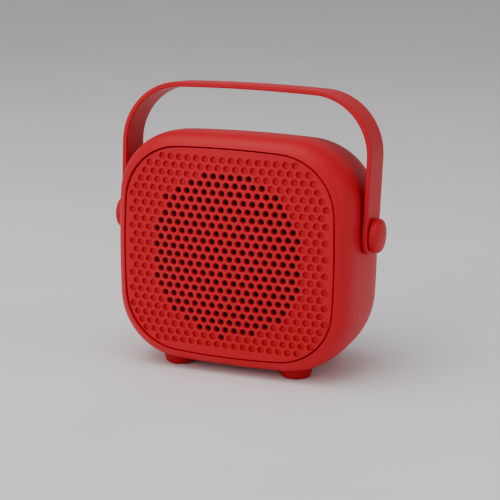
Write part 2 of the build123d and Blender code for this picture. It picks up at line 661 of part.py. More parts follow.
# ---- Battery: one round cell lying across the floor of the housing, in a cradle -----------------
CELL_R, CELL_L = 9.1, 65.0
CELL_Y, CELL_Z = 0.0, 22.0
CRADLE_W = 56.0
with BuildPart() as battery_cell:
    with Locations((0, CELL_Y, CELL_Z)):
        Cylinder(CELL_R, CELL_L, rotation=(0, 90, 0))
    fillet(battery_cell.edges().filter_by(GeomType.CIRCLE), 0.8)
    with Locations((CELL_L / 2 + 0.4, CELL_Y, CELL_Z), (-CELL_L / 2 - 0.4, CELL_Y, CELL_Z)):
        Cylinder(3.2, 0.8, rotation=(0, 90, 0))
battery_cell.part.label = "battery_cell"
export_step(battery_cell.part, "parts/battery_cell.step")

with BuildPart() as battery_cradle:
    with Locations((0, CELL_Y, CELL_Z - 5.2)):
        Box(CRADLE_W, 21.6, 10.4)
    with Locations((0, CELL_Y, CELL_Z)):
        Cylinder(CELL_R + 0.1, CRADLE_W + 2, rotation=(0, 90, 0), mode=Mode.SUBTRACT)
    with Locations((-20, CELL_Y, CELL_Z - 8), (20, CELL_Y, CELL_Z - 8)):
        Box(8.0, 30.0, 20.0, mode=Mode.SUBTRACT)
    with Locations((0, CELL_Y, CELL_Z - CELL_R - 0.9)):
        Box(CRADLE_W, 6.0, 0.8)
    with Locations(*[(x, y, PAD_TOP + 1.45) for x in (-24, 24) for y in (-9.0, 9.0)]):
        Box(6.0, 2.6, 2.9)
battery_cradle.part.label = "battery_cradle"
export_step(battery_cradle.part, "parts/battery_cradle.step")

# adhesive foam bands hold the cell down in the cradle's gaps
BAND_T = 0.6
with BuildPart() as battery_bands:
    with Locations((-20, CELL_Y, CELL_Z), (20, CELL_Y, CELL_Z)):
        Cylinder(CELL_R + 0.1 + BAND_T, 7.0, rotation=(0, 90, 0))
        Cylinder(CELL_R + 0.1, 8.0, rotation=(0, 90, 0), mode=Mode.SUBTRACT)
    with Locations((0, CELL_Y, CELL_Z - CELL_R - 0.9)):
        Box(60.0, 6.8, 1.2, mode=Mode.SUBTRACT)
battery_bands.part.label = "battery_bands"
export_step(battery_bands.part, "parts/battery_bands.step")

# ---- Handle: one bowed strap with an eye at each end, swinging on the pivot caps' stems ---------
HANDLE_BOW = 2.0
HANDLE_CORNER = 27.0
STRAP_EDGE = 0.6                  # rounding of the strap's edges
HANDLE_BAR_Z = HANDLE_TOP_Z - HANDLE_BOW
ARM_END_Z = PIVOT_Z - STRAP_W / 2 - 1
LEAN = (STRAP_TOP_X - STRAP_FOOT_X) / (HANDLE_BAR_Z - PIVOT_Z)


def bail(inset):
    """The handle's outline from the front, moved inwards by so much."""
    foot = STRAP_FOOT_X - LEAN * (PIVOT_Z - ARM_END_Z) - inset
    top, bar_z = STRAP_TOP_X - inset, HANDLE_BAR_Z - inset
    with BuildSketch(at_y(PIVOT_Y + STRAP_W / 2)) as outline:
        with BuildLine():
            Line((-foot, ARM_END_Z), (foot, ARM_END_Z))
            Line((foot, ARM_END_Z), (top, bar_z))
            ThreePointArc((top, bar_z), (0, HANDLE_TOP_Z - inset), (-top, bar_z))
            Line((-top, bar_z), (-foot, ARM_END_Z))
        make_face()
        fillet(outline.vertices().sort_by(Axis.Y)[-2:], HANDLE_CORNER - inset)
    return outline.sketch


with BuildPart() as handle:
    extrude(bail(0), amount=STRAP_W)
    extrude(bail(STRAP_T), amount=STRAP_W, mode=Mode.SUBTRACT)
    with Locations((0, PIVOT_Y, ARM_END_Z)):
        Box(90, 2 * STRAP_W, 4, mode=Mode.SUBTRACT)
    with BuildSketch(Plane.YZ):
        with Locations((PIVOT_Y, PIVOT_Z)):
            Circle(STRAP_W / 2)
        with Locations((PIVOT_Y, PIVOT_Z + 40)):
            Rectangle(STRAP_W, 80)
    extrude(amount=70, both=True, mode=Mode.INTERSECT)
    fillet(handle.edges(), STRAP_EDGE)
    with Locations((0, PIVOT_Y, PIVOT_Z)):
        Cylinder(EYE_R, 130, rotation=(0, 90, 0), mode=Mode.SUBTRACT)
PIVOTS = Axis((0, PIVOT_Y, PIVOT_Z), (1, 0, 0))
handle_at_rest = handle.part.rotate(PIVOTS, -HANDLE_LEAN)
handle_at_rest.label = "handle"
export_step(handle_at_rest, "parts/handle.step")

# ---- Pivots: a domed cap whose stem passes through the eye, held from inside by a screw ---------
CAP_IN_X, CAP_OUT_X, CAP_EDGE_R = 57.1, 61.6, 7.3
STEM_END_X, PILOT_END_X = 47.0, 54.0
CAP_BALL_R = ((CAP_EDGE_R - 1.8) ** 2 + 0.6 ** 2) / (2 * 0.6)     # sphere of the cap's outer face
CAP_SAG = CAP_BALL_R - sqrt(CAP_BALL_R ** 2 - 3.0 ** 2)           # its fall, 3 mm off the axis
BOSS_X = 46.0                     # inner end of the housing's pivot boss

with BuildPart() as pivot_cap_right:
    with BuildSketch(Plane(origin=(0, PIVOT_Y, PIVOT_Z), x_dir=(1, 0, 0), z_dir=(0, 0, 1))):
        with BuildLine():
            Polyline((STEM_END_X, 1.25), (STEM_END_X, STEM_R), (CAP_IN_X, STEM_R),
                     (CAP_IN_X, CAP_EDGE_R - 0.4), (CAP_IN_X + 0.4, CAP_EDGE_R),
                     (CAP_IN_X + 1.9, CAP_EDGE_R))
            ThreePointArc((CAP_IN_X + 1.9, CAP_EDGE_R), (CAP_IN_X + 3.2, CAP_EDGE_R - 0.5),
                          (CAP_IN_X + 3.9, CAP_EDGE_R - 1.8))
            ThreePointArc((CAP_IN_X + 3.9, CAP_EDGE_R - 1.8), (CAP_OUT_X - CAP_SAG, 3.0),
                          (CAP_OUT_X, 0))
            Polyline((CAP_OUT_X, 0), (PILOT_END_X, 0), (PILOT_END_X, 1.25), (STEM_END_X, 1.25))
        make_face()
    revolve(axis=PIVOTS)
pivot_cap_right.part.label = "pivot_cap_right"
export_step(pivot_cap_right.part, "parts/pivot_cap_right.step")

with BuildPart() as pivot_cap_left:
    add(mirror(pivot_cap_right.part, about=Plane.YZ))
pivot_cap_left.part.label = "pivot_cap_left"
export_step(pivot_cap_left.part, "parts/pivot_cap_left.step")

with BuildPart() as pivot_washers:
    with Locations((BOSS_X - 0.4, PIVOT_Y, PIVOT_Z), (0.4 - BOSS_X, PIVOT_Y, PIVOT_Z)):
        Cylinder(6.0, 0.8, rotation=(0, 90, 0))
        Cylinder(1.6, 1.0, rotation=(0, 90, 0), mode=Mode.SUBTRACT)
pivot_washers.part.label = "pivot_washers"
export_step(pivot_washers.part, "parts/pivot_washers.step")

with BuildPart() as pivot_screws:
    for side in (-1, 1):
        with Locations((side * (BOSS_X - 1.6), PIVOT_Y, PIVOT_Z)):
            Cylinder(2.8, 1.6, rotation=(0, 90, 0))
        with Locations((side * (BOSS_X + 3.0), PIVOT_Y, PIVOT_Z)):
            Cylinder(1.2, 7.6, rotation=(0, 90, 0))
        with Locations((side * (BOSS_X - 2.4), PIVOT_Y, PIVOT_Z)):
            Box(1.2, 3.0, 0.7, mode=Mode.SUBTRACT)
pivot_screws.part.label = "pivot_screws"
export_step(pivot_screws.part, "parts/pivot_screws.step")

# ---- Feet: round tapered pucks pressed into the sockets under the housing -----------------------
for y, end in zip(FOOT_Y, ("front", "rear")):
    for x, side in ((-FOOT_X, "left"), (FOOT_X, "right")):
        with BuildPart() as foot:
            with Locations((x, y, 0)):
                Cone(FOOT_R - 1.2, FOOT_R, FOOT_TOP,
                     align=(Align.CENTER, Align.CENTER, Align.MIN))
            fillet(foot.edges().sort_by(Axis.Z)[0], 1.6)
        foot.part.label = f"foot_{end}_{side}"
        export_step(foot.part, f"parts/foot_{end}_{side}.step")

# ---- Wires: straight runs joined by tangent arcs, clipped inside the housing --------------------
WIRE_R = 0.6
SPEAKER_RUN = [(4, -20.5, 81.4), (4, -20.5, 88.5), (6, -11, 92.5), (7, 2, 89.5), (7, 11.5, 81),
               (6, 13.6, 72.5), (6, 16.6, 69.0), (6, 20.9, 69.0)]
BATTERY_RUN = [(33.3, 0, 22), (37.5, 0, 22), (40, 5, 26.5), (37, 11.5, 32), (30, 14.5, 37),
               (24, 16.4, 42), (24, 20.9, 42)]
WIRES = {"speaker_wire_right": (1, SPEAKER_RUN), "speaker_wire_left": (-1, SPEAKER_RUN),
         "battery_wire_right": (1, BATTERY_RUN), "battery_wire_left": (-1, BATTERY_RUN)}


def bend_radii(points):
    """Largest tangent arc at each corner: 0.45 of its shorter run over the tangent of half the turn."""
    radii = []
    for before, corner, after in zip(points, points[1:], points[2:]):
        run_in, run_out = corner - before, after - corner
        half_turn = radians(run_in.get_angle(run_out)) / 2
        radii.append(0.45 * min(run_in.length, run_out.length) / tan(half_turn))
    return radii


for name, (side, route) in WIRES.items():
    points = [Vector(side * x, y, z) for x, y, z in route]
    radii = bend_radii(points)
    with BuildPart() as wire:
        with BuildLine() as path:
            FilletPolyline(*points, radius=radii)
        with BuildSketch(Plane(origin=points[0], z_dir=points[1] - points[0])):
            Circle(WIRE_R)
        sweep(path=path.wires()[0])
    length = path.wires()[0].length
    print(name, "length", round(length, 1), "radii", [round(r, 1) for r in radii],
          "volume ratio", round(wire.part.volume / (pi * WIRE_R ** 2 * length), 4))
    wire.part.label = name
    export_step(wire.part, f"parts/{name}.step")
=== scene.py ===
"""Portable party speaker: a round-cornered red case with a dimpled, domed front and a bail handle.

Lengths are in millimetres, and meshes are turned into metres as they are made. +Z is up, the
front faces -Y. Depths are counted backwards from the front panel's foremost point.
"""
import json

import bmesh
import bpy
import numpy as np
from mathutils import Matrix, Vector
from mathutils.geometry import delaunay_2d_cdt

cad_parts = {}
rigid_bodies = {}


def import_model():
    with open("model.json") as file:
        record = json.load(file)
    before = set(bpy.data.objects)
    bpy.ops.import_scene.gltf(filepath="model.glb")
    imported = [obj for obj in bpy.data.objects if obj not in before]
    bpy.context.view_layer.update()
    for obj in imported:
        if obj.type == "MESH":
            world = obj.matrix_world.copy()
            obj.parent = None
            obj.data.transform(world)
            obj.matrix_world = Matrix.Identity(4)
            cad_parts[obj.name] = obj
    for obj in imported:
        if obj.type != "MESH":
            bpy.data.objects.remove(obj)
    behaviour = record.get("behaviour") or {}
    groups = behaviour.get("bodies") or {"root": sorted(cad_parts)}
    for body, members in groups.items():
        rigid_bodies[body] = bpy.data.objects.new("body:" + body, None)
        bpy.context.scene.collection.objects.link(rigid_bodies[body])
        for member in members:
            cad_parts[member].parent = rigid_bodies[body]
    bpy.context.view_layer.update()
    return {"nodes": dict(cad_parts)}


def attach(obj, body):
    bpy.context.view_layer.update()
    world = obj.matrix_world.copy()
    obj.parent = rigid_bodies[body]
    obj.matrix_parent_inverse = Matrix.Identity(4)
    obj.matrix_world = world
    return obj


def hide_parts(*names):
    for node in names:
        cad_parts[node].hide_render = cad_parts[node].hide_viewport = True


for leftover in list(bpy.data.objects):
    bpy.data.objects.remove(leftover)
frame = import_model()
MM = 0.001

# ---- Studio: a pale seamless table, one large soft lamp above and in front, weaker fills -------
# The camera stands a little right of the front and slightly above, and looks at the case's middle.
CAMERA_AT, LOOKING_AT = Vector((0.2595, -0.6314, 0.2085)), Vector((0.01156, -0.0325, 0.0570))
CAMERA_ROLL = 0.55                # degrees
camera = bpy.data.objects.new("camera", bpy.data.cameras.new("camera"))
camera.data.lens, camera.data.sensor_width, camera.data.clip_start = 115.2, 36.0, 0.01
facing = (LOOKING_AT - CAMERA_AT).to_track_quat("-Z", "Y").to_matrix().to_4x4()
camera.matrix_world = (Matrix.Translation(CAMERA_AT) @ facing
                       @ Matrix.Rotation(np.radians(CAMERA_ROLL), 4, "Z"))
bpy.context.collection.objects.link(camera)
bpy.context.scene.camera = camera


def soft_lamp(name, at, aim, width, watts):
    """Square area lamp of that width, in metres, aimed at a point."""
    lamp = bpy.data.objects.new(name, bpy.data.lights.new(name, "AREA"))
    lamp.data.size, lamp.data.energy = width, watts
    lamp.matrix_world = (Matrix.Translation(Vector(at))
                         @ (Vector(aim) - Vector(at)).to_track_quat("-Z", "Y").to_matrix().to_4x4())
    bpy.context.collection.objects.link(lamp)


soft_lamp("lamp_above", (-0.15, -0.25, 1.0), (0, 0, 0.06), 0.9, 7.0)
soft_lamp("lamp_front", (-0.45, -1.1, 0.55), (0, 0, 0.06), 0.8, 4.5)
soft_lamp("lamp_right", (1.1, -0.1, 0.45), (0, 0, 0.06), 0.7, 1.5)
world = bpy.data.worlds.new("studio")
world.use_nodes = True
world.node_tree.nodes["Background"].inputs["Color"].default_value = (1.0, 1.0, 1.0, 1.0)
world.node_tree.nodes["Background"].inputs["Strength"].default_value = 0.4
bpy.context.scene.world = world


def noise(tree, scale, detail=3.0):
    """Noise texture on Object coordinates; scale is in features per metre."""
    where = tree.nodes.new("ShaderNodeTexCoord")
    texture = tree.nodes.new("ShaderNodeTexNoise")
    texture.inputs["Scale"].default_value = scale
    texture.inputs["Detail"].default_value = detail
    tree.links.new(where.outputs["Object"], texture.inputs["Vector"])
    return texture.outputs["Fac"]


def spread(tree, factor, low, high):
    """The factor's middle range stretched to run from low to high."""
    mapped = tree.nodes.new("ShaderNodeMapRange")
    mapped.inputs["From Min"].default_value = 0.3
    mapped.inputs["From Max"].default_value = 0.7
    mapped.inputs["To Min"].default_value = low
    mapped.inputs["To Max"].default_value = high
    tree.links.new(factor, mapped.inputs["Value"])
    return mapped.outputs["Result"]


def between(tree, factor, first, second):
    """Colour that runs from first to second as the factor goes through its middle range."""
    ramp = tree.nodes.new("ShaderNodeValToRGB")
    ramp.color_ramp.elements[0].position = 0.3
    ramp.color_ramp.elements[1].position = 0.7
    ramp.color_ramp.elements[0].color = (*first, 1.0)
    ramp.color_ramp.elements[1].color = (*second, 1.0)
    tree.links.new(factor, ramp.inputs["Fac"])
    return ramp.outputs["Color"]


def bumped(tree, height, strength, distance):
    """Bump from a height factor; distance is in metres."""
    bump = tree.nodes.new("ShaderNodeBump")
    bump.inputs["Strength"].default_value = strength
    bump.inputs["Distance"].default_value = distance
    tree.links.new(height, bump.inputs["Height"])
    return bump.outputs["Normal"]


def surface(name, first, second, blotch, rough, grain, bump, metallic=0.0, coat=0.0, gloss=0.5):
    """A finish: colour drifting between two tones over blotches, roughness between two values and
    a fine grain in relief. Blotch and grain are feature sizes in mm; bump is the relief in mm."""
    made = bpy.data.materials.new(name)
    made.use_nodes = True
    tree = made.node_tree
    shader = tree.nodes["Principled BSDF"]
    shader.inputs["Metallic"].default_value = metallic
    shader.inputs["Specular IOR Level"].default_value = gloss
    shader.inputs["Coat Weight"].default_value = coat
    shader.inputs["Coat Roughness"].default_value = 0.15
    tree.links.new(between(tree, noise(tree, 1000 / blotch), first, second),
                   shader.inputs["Base Color"])
    tree.links.new(spread(tree, noise(tree, 700 / blotch, 5.0), *rough), shader.inputs["Roughness"])
    tree.links.new(bumped(tree, noise(tree, 1000 / grain, 2.0), 0.6, bump * MM),
                   shader.inputs["Normal"])
    return made


floor_mesh = bpy.data.meshes.new("floor")
FLOOR_HALF = 3.0                  # metres
floor_mesh.from_pydata([(-FLOOR_HALF, -FLOOR_HALF, 0), (FLOOR_HALF, -FLOOR_HALF, 0),
                        (FLOOR_HALF, FLOOR_HALF, 0), (-FLOOR_HALF, FLOOR_HALF, 0)], [], [(0, 1, 2, 3)])
floor = bpy.data.objects.new("floor", floor_mesh)
floor_mesh.materials.append(surface("pale_table", (0.86, 0.86, 0.86), (0.9, 0.9, 0.9), 90.0,
                                    (0.55, 0.65), 2.0, 0.01))
bpy.context.collection.objects.link(floor)

# ---- Housing: one barrel of red ABS, injection moulded, open at the front and at the back ------
# Its front rim is a broad soft radius. Inside the rim are the ledge that carries the baffle and,
# at the back, the seat of the rear cover. The moulding has a fine spark-eroded grain.
DEPTH, FRONT_Y = 65.0, -32.5
PANEL_HALF_W, PANEL_HALF_H, PANEL_Z = 47.8, 45.0, 53.2
PANEL_BOW, PANEL_CORNER, GROOVE, WALL = 2.2, 25.0, 0.4, 2.4
TOP_FALL, BASE_RISE = 5.6, 0.8
BARREL = [(2.22, 0.42), (3.3, 2.1), (5.6, 4.0), (10.0, 5.5), (18.0, 6.2), (30.0, 6.2), (41.0, 5.4),
          (50.0, 3.0), (56.0, -0.8), (60.5, -6.4), (62.8, -11.4)]
SIDE_SHARE, SIDE_STEPS, CORNER_STEPS = 0.3, 8, 16
MERGE = 0.006                     # points nearer than this are one
LEDGE_FRONT, LEDGE_BACK, LEDGE_EDGE = 7.0, 9.5, -4.0           # the baffle's ledge
COVER_SEAT, SEAT_BACK, OPENING, SEAT_EDGE = 61.4, 59.0, -11.6, -14.8   # the rear cover's seat
PIVOT_Y, PIVOT_Z = -7.3, 62.4
STEM_HOLE_R, EYE_SEAT_R, EYE_SEAT_IN, EYE_SEAT_OUT, EASE = 4.1, 6.5, 51.6, 54.4, 0.1


def close_up(mesh):
    """Patches are merged where their rims meet, and every face is turned outwards. The rims stay
    sharp, as moulded edges are."""
    work = bmesh.new()
    work.from_mesh(mesh)
    for edge in work.edges:
        if edge.is_boundary:
            edge.smooth = False
    bmesh.ops.remove_doubles(work, verts=work.verts, dist=MERGE * MM)
    bmesh.ops.recalc_face_normals(work, faces=work.faces)
    work.to_mesh(mesh)
    work.free()


def piece(name, points, faces, finish, body, stands_for=(), crease=35.0):
    """A mesh piece from points in mm: shaded smooth, but sharp where faces meet at over crease
    degrees. It rides on a body, wears the given finish and stands for CAD nodes."""
    mesh = bpy.data.meshes.new(name)
    mesh.from_pydata((np.asarray(points) * MM).tolist(), [], faces)
    mesh.polygons.foreach_set("use_smooth", np.ones(len(mesh.polygons), dtype=bool))
    mesh.set_sharp_from_angle(angle=np.radians(crease))
    close_up(mesh)
    mesh.materials.append(finish)
    mesh.validate()
    made = bpy.data.objects.new(name, mesh)
    bpy.context.collection.objects.link(made)
    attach(made, body)
    if stands_for:
        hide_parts(*stands_for)
    return made


def grid_faces(rows, columns, close_rows=False, close_columns=True, first=0):
    """Quads of a grid numbered row by row, from a first index, closed round either way if asked."""
    row = np.arange(rows if close_rows else rows - 1)
    column = np.arange(columns if close_columns else columns - 1)
    r, c = np.meshgrid(row, column, indexing="ij")
    r2, c2 = (r + 1) % rows, (c + 1) % columns
    quads = np.stack([r * columns + c, r * columns + c2, r2 * columns + c2, r2 * columns + c], -1)
    return (quads.reshape(-1, 4) + first).tolist()


def bowed_square(depth, grow):
    """Outlines of a square with bulging sides and round corners, one row per depth, as x, z.

    A quarter is three tangent arcs: half a side, the corner and half the top. The point whose
    outward normal stands at angle t is centre + radius * (cos t, sin t) of its own arc."""
    depth, grow = (np.asarray(v, dtype=float)[:, None] for v in (depth, grow))
    fall = (1 - np.cos(np.pi * depth / DEPTH)) / 2
    side = PANEL_HALF_W + grow
    top = PANEL_Z + PANEL_HALF_H + grow - TOP_FALL * fall
    base = PANEL_Z - PANEL_HALF_H - grow + BASE_RISE * fall
    half, middle = (top - base) / 2, (top + base) / 2
    corner_r = PANEL_CORNER + 0.6 * grow
    side_r = ((half - PANEL_BOW) ** 2 + PANEL_BOW ** 2) / (2 * PANEL_BOW)
    top_r = ((side - PANEL_BOW) ** 2 + PANEL_BOW ** 2) / (2 * PANEL_BOW)
    # the corner's centre is where circles about the two other centres meet
    side_x, top_z = side - side_r, half - top_r
    gap_x, gap_z = -side_x, top_z
    gap = np.hypot(gap_x, gap_z)
    to_side, to_top = side_r - corner_r, top_r - corner_r
    along = (to_side ** 2 - to_top ** 2 + gap ** 2) / (2 * gap)
    across = np.sqrt(to_side ** 2 - along ** 2)
    corner_x = side_x + (along * gap_x - across * gap_z) / gap
    corner_z = (along * gap_z + across * gap_x) / gap
    start = np.arctan2(corner_z, corner_x - side_x)
    end = np.arctan2(corner_z - top_z, corner_x)

    share = np.concatenate([np.linspace(0, SIDE_SHARE, SIDE_STEPS, endpoint=False),
                            np.linspace(SIDE_SHARE, 1 - SIDE_SHARE, CORNER_STEPS, endpoint=False),
                            np.linspace(1 - SIDE_SHARE, 1, SIDE_STEPS, endpoint=False)])
    quarter = np.repeat(np.arange(4), len(share))
    share = np.tile(share, 4)
    t = np.where(quarter % 2 == 0, share, 1 - share)[None, :]
    on_side, on_top = t < SIDE_SHARE, t > 1 - SIDE_SHARE
    angle = np.where(on_side, start * t / SIDE_SHARE,
                     np.where(on_top, end + (np.pi / 2 - end) * (t - 1 + SIDE_SHARE) / SIDE_SHARE,
                              start + (end - start) * (t - SIDE_SHARE) / (1 - 2 * SIDE_SHARE)))
    radius = np.where(on_side, side_r, np.where(on_top, top_r, corner_r))
    x = np.where(on_side, side_x, np.where(on_top, 0.0, corner_x)) + radius * np.cos(angle)
    z = np.where(on_side, 0.0, np.where(on_top, top_z, corner_z)) + radius * np.sin(angle)
    right, up = np.array([1, -1, -1, 1])[quarter], np.array([1, 1, -1, -1])[quarter]
    return x * right, z * up + middle


def eased(points, steps):
    """Catmull-Rom curve through the points, each span in so many steps. With a, b, c, d the four
    points about a span, it is (2b + (c-a)t + (2a-5b+4c-d)t^2 + (3b-a-3c+d)t^3) / 2."""
    p = np.asarray(points, dtype=float)
    p = np.vstack([2 * p[0] - p[1], p, 2 * p[-1] - p[-2]])
    a, b, c, d = (p[i:len(p) - 3 + i, None, :] for i in range(4))
    t = np.linspace(0, 1, steps, endpoint=False)[None, :, None]
    curve = (2 * b + (c - a) * t + (2 * a - 5 * b + 4 * c - d) * t ** 2
             + (3 * b - a - 3 * c + d) * t ** 3) / 2
    return np.vstack([curve.reshape(-1, p.shape[1]), p[-2]])


RED, DEEP_RED = (0.57, 0.001, 0.014), (0.52, 0.001, 0.011)
SATIN = 0.22                      # share of gloss on the grained red mouldings
red_shell = surface("red_shell", RED, DEEP_RED, 60.0, (0.46, 0.54), 0.35, 0.02, gloss=SATIN)

inside = [(SEAT_BACK, SEAT_EDGE), (SEAT_BACK, -10.0)]
inside += [(d, g - WALL) for d, g in BARREL[-3:3:-1]] + [(LEDGE_BACK, 3.1)]
ledge = [(LEDGE_BACK, LEDGE_EDGE), (LEDGE_FRONT, LEDGE_EDGE), (LEDGE_FRONT, GROOVE / 2)]
lip = [(2.8, GROOVE / 2), (2.4, GROOVE / 2 + 0.05)]
seat = [(62.7, OPENING), (COVER_SEAT, OPENING), (COVER_SEAT, SEAT_EDGE)]
section = np.vstack([eased(BARREL, 5), seat, inside, ledge, lip])
x, z = bowed_square(section[:, 0], section[:, 1])
y = np.broadcast_to(FRONT_Y + section[:, :1], x.shape)
shell_points = np.stack([x, y, z], -1).reshape(-1, 3)
shell_faces = grid_faces(*x.shape, close_rows=True)


def lathe(profile, centre, axis, steps):
    """Closed profile of (radius, distance) turned about a line through centre along X or Y: a point
    lies so far along the line, and at radius * (cos t, sin t) across it."""
    profile = np.asarray(profile, dtype=float)
    t = np.linspace(0, 2 * np.pi, steps, endpoint=False)[None, :]
    r, far = profile[:, :1], profile[:, 1:] + 0 * t
    turned = {"x": [far, r * np.cos(t), r * np.sin(t)], "y": [r * np.sin(t), far, r * np.cos(t)]}
    return np.stack(turned[axis], -1).reshape(-1, 3) + centre, grid_faces(*far.shape, close_rows=True)


# flat round seats under the handle's eyes
seat_ring = [(STEM_HOLE_R, EYE_SEAT_IN), (EYE_SEAT_R, EYE_SEAT_IN), (EYE_SEAT_R, EYE_SEAT_OUT - EASE),
             (EYE_SEAT_R - EASE, EYE_SEAT_OUT), (STEM_HOLE_R + EASE, EYE_SEAT_OUT)]
for side in (-1, 1):
    ring_points, ring_faces = lathe(seat_ring, (0, PIVOT_Y, PIVOT_Z), "x", 40)
    ring_points = ring_points * (side, 1, 1)
    step = -side
    shell_faces += (np.array(ring_faces)[:, ::step] + len(shell_points)).tolist()
    shell_points = np.vstack([shell_points, ring_points])
piece("case_shell", shell_points, shell_faces, red_shell, "housing", ["housing"])

# ---- Front panel: a red moulded dome, 2.2 mm thick, pressed into the housing's rim --------------
# Dimples stand in a close hexagonal pattern. In the middle they are drilled through, a little
# smaller, for the sound. The web between them is smooth, and a thin dark gap runs round the panel.
PITCH, ROWS, DRIVER_Z, DOME_R, PANEL_T, PANEL_BACK = 4.0, 24, 53.5, 520.0, 2.2, 4.6
FIELD_HALF_W, FIELD_HALF_H, FIELD_CORNER = 44.8, 40.4, 16.8
OPEN_R, OPEN_HALF_W = 8.87 * PITCH, 8.2 * PITCH
SEGMENTS = 12
DIMPLE = [(1.62, 0.0), (1.46, 0.14), (1.34, 0.7), (1.12, 1.12), (0.8, 1.2)]     # radius, depth
HOLE = [(1.62, 0.0), (1.46, 0.06), (1.36, 0.25), (1.30, 0.6), (1.24, PANEL_T)]


def dome(x, z, inside=0.0):
    """Y of the sphere that the panel follows, or of one so much smaller about the same centre: the
    centre's Y less the root of radius^2 - x^2 - z^2."""
    return FRONT_Y + DOME_R - np.sqrt((DOME_R - inside) ** 2 - x ** 2 - (z - PANEL_Z) ** 2)


# sites of a close hexagonal pattern: odd rows shift by half a pitch, and rows are root 3 / 2 pitches
# apart. Those within a rounded rectangle are used, and those within a circle are open, with two strays.
row, place = np.meshgrid(np.arange(ROWS), np.arange(-12, 13), indexing="ij")
site_x = (place + 0.5 * (row % 2)) * PITCH
site_z = (row - (ROWS - 1) / 2) * PITCH * np.sqrt(3) / 2
over_x = np.maximum(np.abs(site_x) - (FIELD_HALF_W - FIELD_CORNER), 0)
over_z = np.maximum(np.abs(site_z) - (FIELD_HALF_H - FIELD_CORNER), 0)
stray = ((row == 18) & (site_x == -7 * PITCH)) | ((row == 1) & (site_x == -0.5 * PITCH))
drilled = ((np.hypot(site_x, site_z) < OPEN_R) & (np.abs(site_x) < OPEN_HALF_W)) | stray
dimpled = (np.hypot(over_x, over_z) < FIELD_CORNER) & ~drilled
hole_at = np.stack([site_x[drilled], site_z[drilled] + DRIVER_Z], -1)
dimple_at = np.stack([site_x[dimpled], site_z[dimpled] + DRIVER_Z], -1)
turn = np.linspace(0, 2 * np.pi, SEGMENTS, endpoint=False)
circle = np.stack([np.cos(turn), np.sin(turn)], -1)


def pits(at, profile):
    """Rings of a pit at each place: x, z = place + radius * circle, y = dome + depth. The result
    has one row of points per place, ring by ring."""
    profile = np.asarray(profile)
    flat = at[:, None, None, :] + profile[None, :, None, :1] * circle[None, None, :, :]
    y = dome(flat[..., 0], flat[..., 1]) + profile[None, :, None, 1]
    return np.stack([flat[..., 0], y, flat[..., 1]], -1).reshape(len(at), -1, 3)


def web(rim, at, radius):
    """Triangles between a closed rim and the circles about each place, all flat in x and z."""
    rounds = (at[:, None, :] + radius * circle[None, :, :]).reshape(-1, 2)
    spots = np.vstack([rim, rounds])
    loop = [(i, (i + 1) % len(rim)) for i in range(len(rim))]
    start = len(rim) + np.arange(len(at)) * SEGMENTS
    loop += [(s + i, s + (i + 1) % SEGMENTS) for s in start.tolist() for i in range(SEGMENTS)]
    spots, _, faces, _, _, _ = delaunay_2d_cdt([Vector(p) for p in spots.tolist()], loop, [], 1, 1e-5)
    spots, faces = np.array([tuple(p) for p in spots]), np.array(faces)
    middle = spots[faces].mean(1)
    nearest = np.full(len(middle), np.inf)
    for chunk in np.array_split(np.arange(len(at)), 8):
        gap = np.linalg.norm(middle[:, None, :] - at[None, chunk, :], axis=2)
        nearest = np.minimum(nearest, gap.min(1))
    return spots, faces[nearest > radius * 0.97]


panel_points, panel_faces = [], []


def add_part(points, faces):
    """One more patch of the panel, which meets the others at its rim points."""
    shift = sum(len(p) for p in panel_points)
    panel_points.append(np.asarray(points))
    panel_faces.extend([[i + shift for i in face] for face in faces])


for at, profile in ((dimple_at, DIMPLE), (hole_at, HOLE)):
    rings = pits(at, profile)
    faces = np.array(grid_faces(len(profile), SEGMENTS))[:, ::-1]
    per_place = rings.shape[1]
    many = (faces[None] + (np.arange(len(at)) * per_place)[:, None, None]).reshape(-1, 4).tolist()
    if profile is DIMPLE:
        last = np.arange(per_place - SEGMENTS, per_place)[::-1]
        many += (last[None] + (np.arange(len(at)) * per_place)[:, None]).tolist()
    add_part(rings.reshape(-1, 3), many)

EDGE = [(0.30, 0.0), (0.12, 0.05), (0.03, 0.2), (0.0, 0.45)]      # inset and drop of the rim
inset = np.array([e[0] for e in EDGE] + [0.0, 1.8, 1.8])
x, z = bowed_square(np.full(len(inset), PANEL_BACK), -GROOVE / 2 - inset)
drop = np.array([e[1] for e in EDGE])[:, None]
y = np.vstack([dome(x[:4], z[:4]) + drop, np.full((2, x.shape[1]), FRONT_Y + PANEL_BACK),
               dome(x[6:], z[6:], PANEL_T)])
add_part(np.stack([x, y, z], -1).reshape(-1, 3), grid_faces(*x.shape))
front_rim, back_rim = np.stack([x[0], z[0]], -1), np.stack([x[6], z[6]], -1)
spots, faces = web(front_rim, np.vstack([dimple_at, hole_at]), DIMPLE[0][0])
add_part(np.stack([spots[:, 0], dome(*spots.T), spots[:, 1]], -1), faces.tolist())
spots, faces = web(back_rim, hole_at, HOLE[-1][0])
add_part(np.stack([spots[:, 0], dome(*spots.T, PANEL_T), spots[:, 1]], -1), faces[:, ::-1].tolist())
piece("front_grille", np.vstack(panel_points), panel_faces, red_shell, "housing",
      ["front_panel"], crease=50.0)

# ---- Acoustic cloth: thin black woven nylon, bonded to the back of the dome over the holes ------
# It keeps dust out of the loudspeaker and hides it. Warp and weft cross every 0.35 mm.
WEAVE = 0.35
BANDS = 20                        # crests of a wave texture in one unit at a scale of 1


